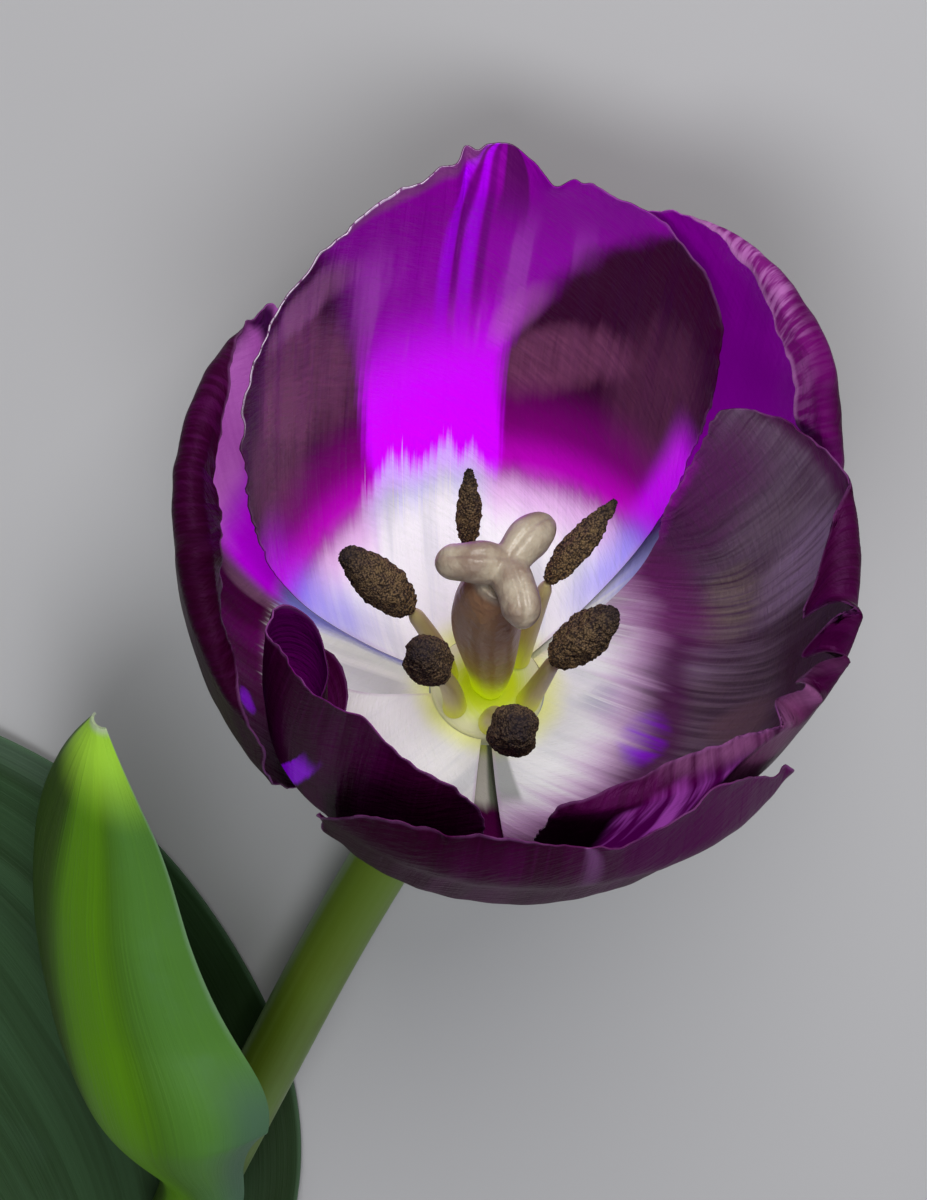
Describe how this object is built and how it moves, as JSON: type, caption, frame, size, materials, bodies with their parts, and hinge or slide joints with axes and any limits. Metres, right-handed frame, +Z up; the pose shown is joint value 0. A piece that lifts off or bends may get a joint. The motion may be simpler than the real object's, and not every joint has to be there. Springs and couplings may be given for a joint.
{
  "type": "cut tulip",
  "caption": "Cut tulip lying on its side: an open purple bloom with a cream throat, pistil and dark anthers, on a curved green stem with clasping leaves.",
  "frame": {"origin": "on the table under the middle of the whole flower's bounding box", "axes": "+X from the cut end of the stem towards the bloom, +Z up from the table; the bloom's own axis leans 28 degrees up from +X"},
  "size_m": [0.296, 0.1362, 0.0703],
  "materials": {
    "stem_green": "smooth, faintly waxy",
    "pistil_cream": "fine velvety",
    "inner_tepal": "silky with fine lengthwise veins",
    "outer_tepal": "silky with fine lengthwise veins",
    "filament_pale": "smooth",
    "pollen_brown": "grainy, dusted with pollen",
    "leaf_bright": "waxy with lengthwise veins",
    "leaf_dark": "waxy with lengthwise veins"
  },
  "bodies": {
    "root": {"stem": "stem_green", "pistil": "pistil_cream", "tepal_inner_1": "inner_tepal", "tepal_inner_2": "inner_tepal", "tepal_inner_3": "inner_tepal", "tepal_outer_1": "outer_tepal", "tepal_outer_2": "outer_tepal", "tepal_outer_3": "outer_tepal", "filament_1": "filament_pale", "anther_1": "pollen_brown", "filament_2": "filament_pale", "anther_2": "pollen_brown", "filament_3": "filament_pale", "anther_3": "pollen_brown", "filament_4": "filament_pale", "anther_4": "pollen_brown", "filament_5": "filament_pale", "anther_5": "pollen_brown", "filament_6": "filament_pale", "anther_6": "pollen_brown", "leaf_upper": "leaf_bright", "leaf_lower": "leaf_dark"}
  },
  "joints": []
}
